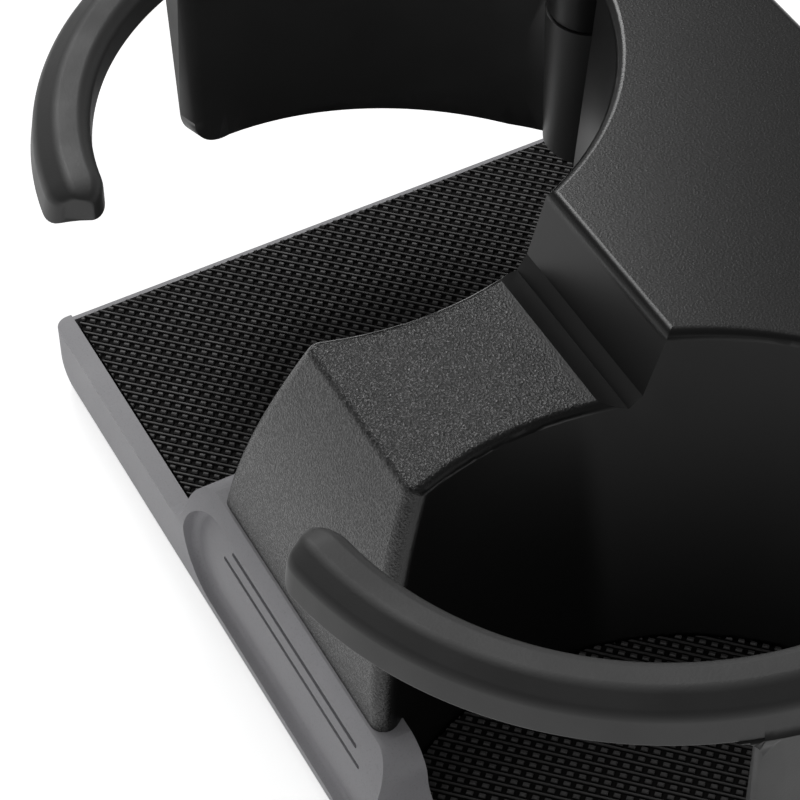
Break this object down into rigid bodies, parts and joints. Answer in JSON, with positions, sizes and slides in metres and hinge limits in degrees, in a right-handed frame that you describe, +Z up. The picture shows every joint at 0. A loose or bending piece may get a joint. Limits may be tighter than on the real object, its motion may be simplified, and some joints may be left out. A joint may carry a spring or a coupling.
{
  "type": "console cup holder",
  "caption": "Pull-out tray cup holder for a car console with two cup wells, ribbed mats, a raised deck and sprung C-shaped wings that swing out to grip a cup.",
  "frame": {"origin": "on the plane that the runners stand on, midway between the two cup axes", "axes": "+X across the front from left to right, +Y from the front rail to the back, +Z up"},
  "size_m": [0.1264, 0.091, 0.062],
  "materials": {
    "tray_plastic": "fine grained grey moulding",
    "grained_plastic": "grained charcoal moulding",
    "wing_plastic": "satin charcoal moulding",
    "mat_rubber": "ribbed anti-slip surface",
    "pin_steel": "ground",
    "clip_steel": "dark spring steel",
    "spring_steel": "drawn wire",
    "buffer_rubber": "plain",
    "screw_steel": "zinc plated",
    "runner_plastic": "plain slippery moulding",
    "striker_steel": "zinc plated"
  },
  "bodies": {
    "holder": {"grey_tray": "tray_plastic", "upper_body": "grained_plastic", "left_mat": "mat_rubber", "right_mat": "mat_rubber", "left_pivot_pin": "pin_steel", "right_pivot_pin": "pin_steel", "left_pin_clip": "clip_steel", "right_pin_clip": "clip_steel", "left_wing_spring": "spring_steel", "right_wing_spring": "spring_steel", "left_stop_buffer": "buffer_rubber", "right_stop_buffer": "buffer_rubber", "body_screws": "screw_steel", "left_runner": "runner_plastic", "right_runner": "runner_plastic", "runner_screws": "screw_steel", "latch_striker": "striker_steel", "striker_screws": "screw_steel"},
    "left_wing": {"left_wing": "wing_plastic"},
    "right_wing": {"right_wing": "wing_plastic"}
  },
  "joints": [
    {"name": "right_wing_swing", "type": "hinge", "parent": "holder", "child": "right_wing", "pos_m": [0.0437, 0.0396, 0.034], "axis": [0, 0, 1], "range_deg": [0, 38], "stiffness_Nm_per_rad": 0.1, "springref_deg": -22.92},
    {"name": "left_wing_swing", "type": "hinge", "parent": "holder", "child": "left_wing", "pos_m": [-0.0437, 0.0396, 0.034], "axis": [0, 0, -1], "range_deg": [0, 38], "stiffness_Nm_per_rad": 0.1, "springref_deg": -22.92}
  ]
}
